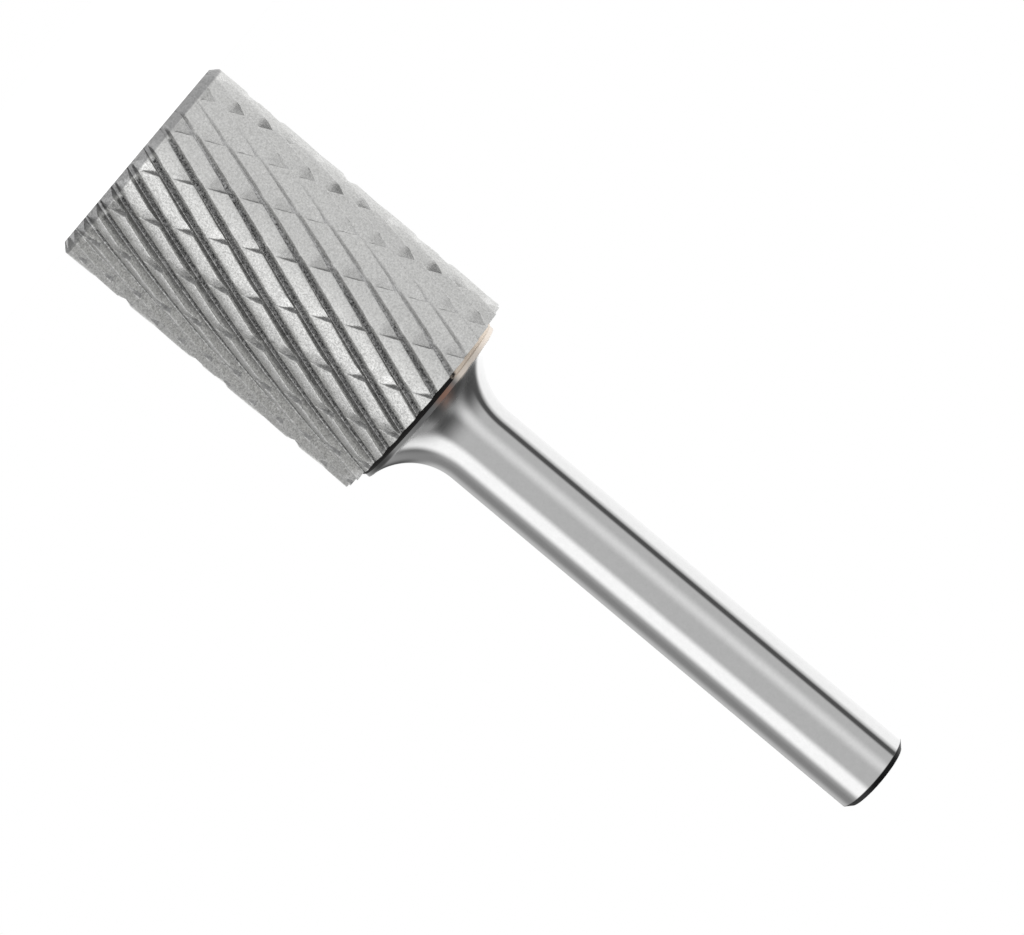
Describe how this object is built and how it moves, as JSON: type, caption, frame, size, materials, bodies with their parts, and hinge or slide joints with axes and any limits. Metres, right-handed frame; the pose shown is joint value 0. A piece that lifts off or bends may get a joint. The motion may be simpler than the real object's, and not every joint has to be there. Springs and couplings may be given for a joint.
{
  "type": "carbide burr",
  "caption": "Cylindrical double-cut carbide burr with a flat nose, brazed to a plain round steel shank that flares at the joint.",
  "frame": {"origin": "centre of the flat nose face, which is where the burr stands", "axes": "+Z along the turning axis, from the nose towards the free end of the shank; +X and +Y are square to it"},
  "size_m": [0.016, 0.016, 0.0654],
  "materials": {
    "carbide": "ground tungsten carbide, fine satin grey with sharp bright edges",
    "braze": "thin copper-coloured braze line, smooth",
    "shank_steel": "centreless ground steel, bright"
  },
  "bodies": {
    "root": {"carbide_head": "carbide", "braze_joint": "braze", "steel_shank": "shank_steel"}
  },
  "joints": []
}
